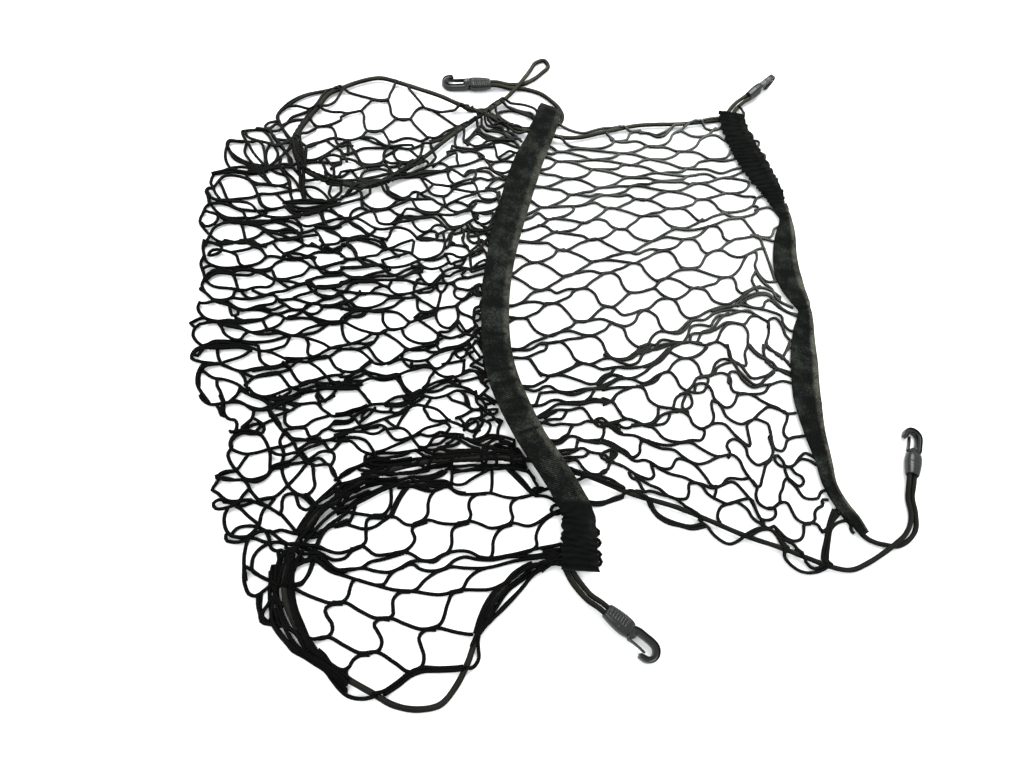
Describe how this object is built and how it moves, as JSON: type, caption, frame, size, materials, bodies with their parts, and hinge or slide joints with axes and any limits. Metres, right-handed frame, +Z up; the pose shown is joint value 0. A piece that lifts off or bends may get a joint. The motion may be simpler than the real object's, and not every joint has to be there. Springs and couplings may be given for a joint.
{
  "type": "cargo net",
  "caption": "Knitted elastic cargo net, folded over on itself, with cloth binding bands, a shock-cord edge and snap hooks with spring gates at its corners.",
  "frame": {"origin": "middle of the underside of the part's bounding box without its cords, on the surface it lies on", "axes": "+Z up from the surface, X across the bands, Y along the bands"},
  "size_m": [0.7119, 0.7271, 0.0209],
  "materials": {
    "yarn": "black knitted elastic yarn",
    "band": "dark grey-green woven binding",
    "cord": "braided shock cord",
    "hook": "satin black moulded plastic",
    "gate": "black moulded plastic"
  },
  "bodies": {
    "net_and_hooks": {"centre_band": "band", "cord_bottom": "cord", "cord_corner": "cord", "cord_hook_1_left": "cord", "cord_hook_1_right": "cord", "cord_hook_4_left": "cord", "cord_hook_4_right": "cord", "cord_loop": "cord", "cord_top": "cord", "hook_1_claw": "hook", "hook_1_sleeve": "hook", "hook_2_claw": "hook", "hook_2_sleeve": "hook", "hook_3_claw": "hook", "hook_3_sleeve": "hook", "hook_4_claw": "hook", "hook_4_sleeve": "hook", "net": "yarn", "right_band": "band"},
    "gate_1": {"hook_1_gate": "gate"},
    "gate_2": {"hook_2_gate": "gate"},
    "gate_3": {"hook_3_gate": "gate"},
    "gate_4": {"hook_4_gate": "gate"}
  },
  "joints": [
    {"name": "gate_1_hinge", "type": "hinge", "parent": "net_and_hooks", "child": "gate_1", "pos_m": [0.00269, -0.32782, 0.00553], "axis": [0.0429, -0.041, 0.9982], "range_deg": [0, 20], "stiffness_Nm_per_rad": 0.02},
    {"name": "gate_2_hinge", "type": "hinge", "parent": "net_and_hooks", "child": "gate_2", "pos_m": [0.33429, -0.16865, 0.00553], "axis": [-0.0278, -0.0524, -0.9982], "range_deg": [0, 20], "stiffness_Nm_per_rad": 0.02},
    {"name": "gate_3_hinge", "type": "hinge", "parent": "net_and_hooks", "child": "gate_3", "pos_m": [-0.07972, 0.30802, 0.00553], "axis": [-0.0591, -0.0052, 0.9982], "range_deg": [0, 20], "stiffness_Nm_per_rad": 0.02},
    {"name": "gate_4_hinge", "type": "hinge", "parent": "net_and_hooks", "child": "gate_4", "pos_m": [0.30857, 0.33611, 0.00509], "axis": [0.6157, -0.788, 0], "range_deg": [0, 20], "stiffness_Nm_per_rad": 0.02}
  ]
}
